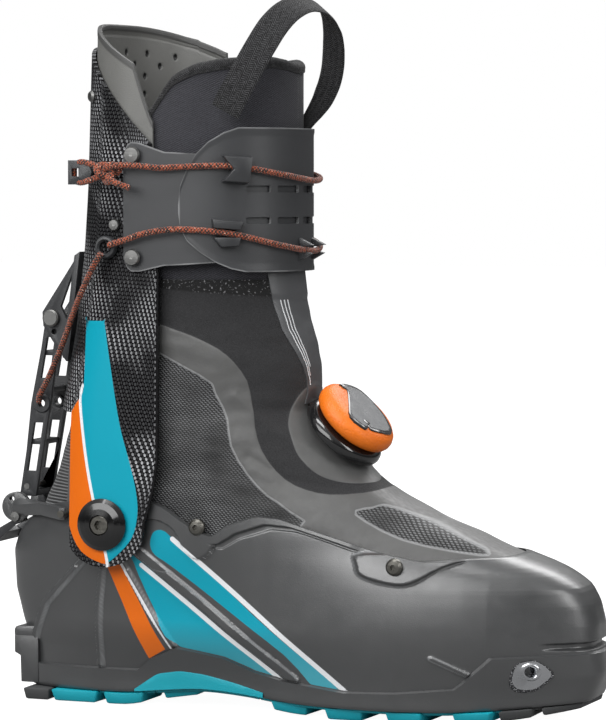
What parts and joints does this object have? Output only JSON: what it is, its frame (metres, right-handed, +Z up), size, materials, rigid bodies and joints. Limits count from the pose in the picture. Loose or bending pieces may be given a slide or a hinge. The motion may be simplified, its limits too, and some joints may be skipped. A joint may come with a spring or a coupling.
{
  "type": "alpine touring boot",
  "caption": "Right-foot ski touring boot with a carbon cuff on ankle pivots, heel locking lever, cord-closed shin bands, lace dial and pin-binding fittings.",
  "frame": {"origin": "on the ground, under the middle of the boot's box", "axes": "+X to the toe, +Y to the inner side of the foot, +Z up"},
  "size_m": [0.3228, 0.1101, 0.3551],
  "materials": {
    "shell_grey": "finely grained satin polyamide",
    "sole_teal": "matt coloured rubber",
    "sole_grey": "matt grey rubber",
    "steel": "brushed hard steel",
    "dark_screw": "blackened steel",
    "board": "plain moulded board",
    "footbed": "soft foam with a cloth top",
    "liner": "black stretch cloth over foam",
    "binding": "ribbed binding tape",
    "gaiter": "laminated grey cloth with black mesh panels",
    "stretch": "black stretch cloth",
    "dial_black": "glossy black moulding",
    "spool": "natural nylon",
    "knob_orange": "soft-touch orange rubber",
    "dial_grey": "dark grey moulding",
    "washer_black": "black anodised dome",
    "bush": "low-friction polymer",
    "hard_black": "black glass-filled polyamide",
    "carbon": "twill carbon laminate with coloured film on the pivot arms",
    "spoiler_grey": "flexible grey plastic",
    "band_grey": "flexible grey plastic",
    "cord": "orange and black braided cord",
    "strip": "matt grey film",
    "webbing": "dark grey woven webbing"
  },
  "bodies": {
    "boot": {"lower_shell": "shell_grey", "sole_plate": "shell_grey", "heel_rubber": "sole_teal", "arch_rubber": "sole_teal", "forefoot_rubber": "sole_teal", "toe_rubber": "sole_grey", "toe_insert_lateral": "steel", "toe_insert_medial": "steel", "heel_insert": "steel", "heel_insert_screw": "dark_screw", "footboard": "board", "footbed": "footbed", "liner_foot": "liner", "liner_ankle": "liner", "gaiter_lower": "gaiter", "gaiter_stretch": "stretch", "gaiter_screws": "dark_screw", "lace_cable": "steel", "dial_base": "dial_black", "dial_spool": "spool", "pivot_nuts": "steel", "pivot_bolts": "dark_screw", "pivot_washers": "washer_black", "heel_yoke": "shell_grey", "yoke_screws": "dark_screw", "catch_rivets": "steel", "catch_springs": "steel", "tongue_strip": "strip"},
    "cuff": {"liner_cuff": "liner", "liner_binding": "binding", "cuff_bushings": "bush", "cuff_shell": "carbon", "spoiler": "spoiler_grey", "spoiler_rivets": "steel", "inner_band": "band_grey", "outer_band": "band_grey", "band_rivets": "steel", "band_cord_hooks": "hard_black", "edge_cord_hooks": "hard_black", "cord_anchor": "hard_black", "guide_rings": "hard_black", "guide_rivets": "steel", "cord_upper": "cord", "cord_lower": "cord", "cord_knot": "cord", "lever_cord": "cord", "pull_strap": "webbing", "lever_bracket": "hard_black", "bracket_screws": "steel", "lever_bolt": "steel"},
    "lever": {"lever_frame": "hard_black", "lever_foot_pin": "steel", "lever_eyelets": "hard_black"},
    "catch": {"heel_catch": "hard_black"},
    "dial_hub": {"dial_hub": "dial_black"},
    "dial_knob": {"dial_knob": "knob_orange", "dial_insert": "dial_grey"}
  },
  "joints": [
    {"name": "ankle", "type": "hinge", "parent": "boot", "child": "cuff", "pos_m": [-0.0825, 0, 0.093], "axis": [0, 1, 0], "range_deg": [-18, 25], "deforming": ["gaiter_stretch", "liner_ankle", "tongue_strip"]},
    {"name": "lever_swing", "type": "hinge", "parent": "cuff", "child": "lever", "pos_m": [-0.1255, 0, 0.194], "axis": [0, 1, 0], "range_deg": [0, 110], "deforming": ["lever_cord"]},
    {"name": "catch_swing", "type": "hinge", "parent": "boot", "child": "catch", "pos_m": [-0.1445, 0, 0.092], "axis": [0, 1, 0], "range_deg": [0, 20], "stiffness_Nm_per_rad": 0.05},
    {"name": "dial_pull", "type": "slide", "parent": "boot", "child": "dial_hub", "axis": [0.6773, -0.1231, 0.7254], "range_m": [0, 0.003]},
    {"name": "dial_turn", "type": "hinge", "parent": "dial_hub", "child": "dial_knob", "pos_m": [0.0273, -0.003, 0.1372], "axis": [0.6773, -0.1231, 0.7254], "continuous": true}
  ]
}
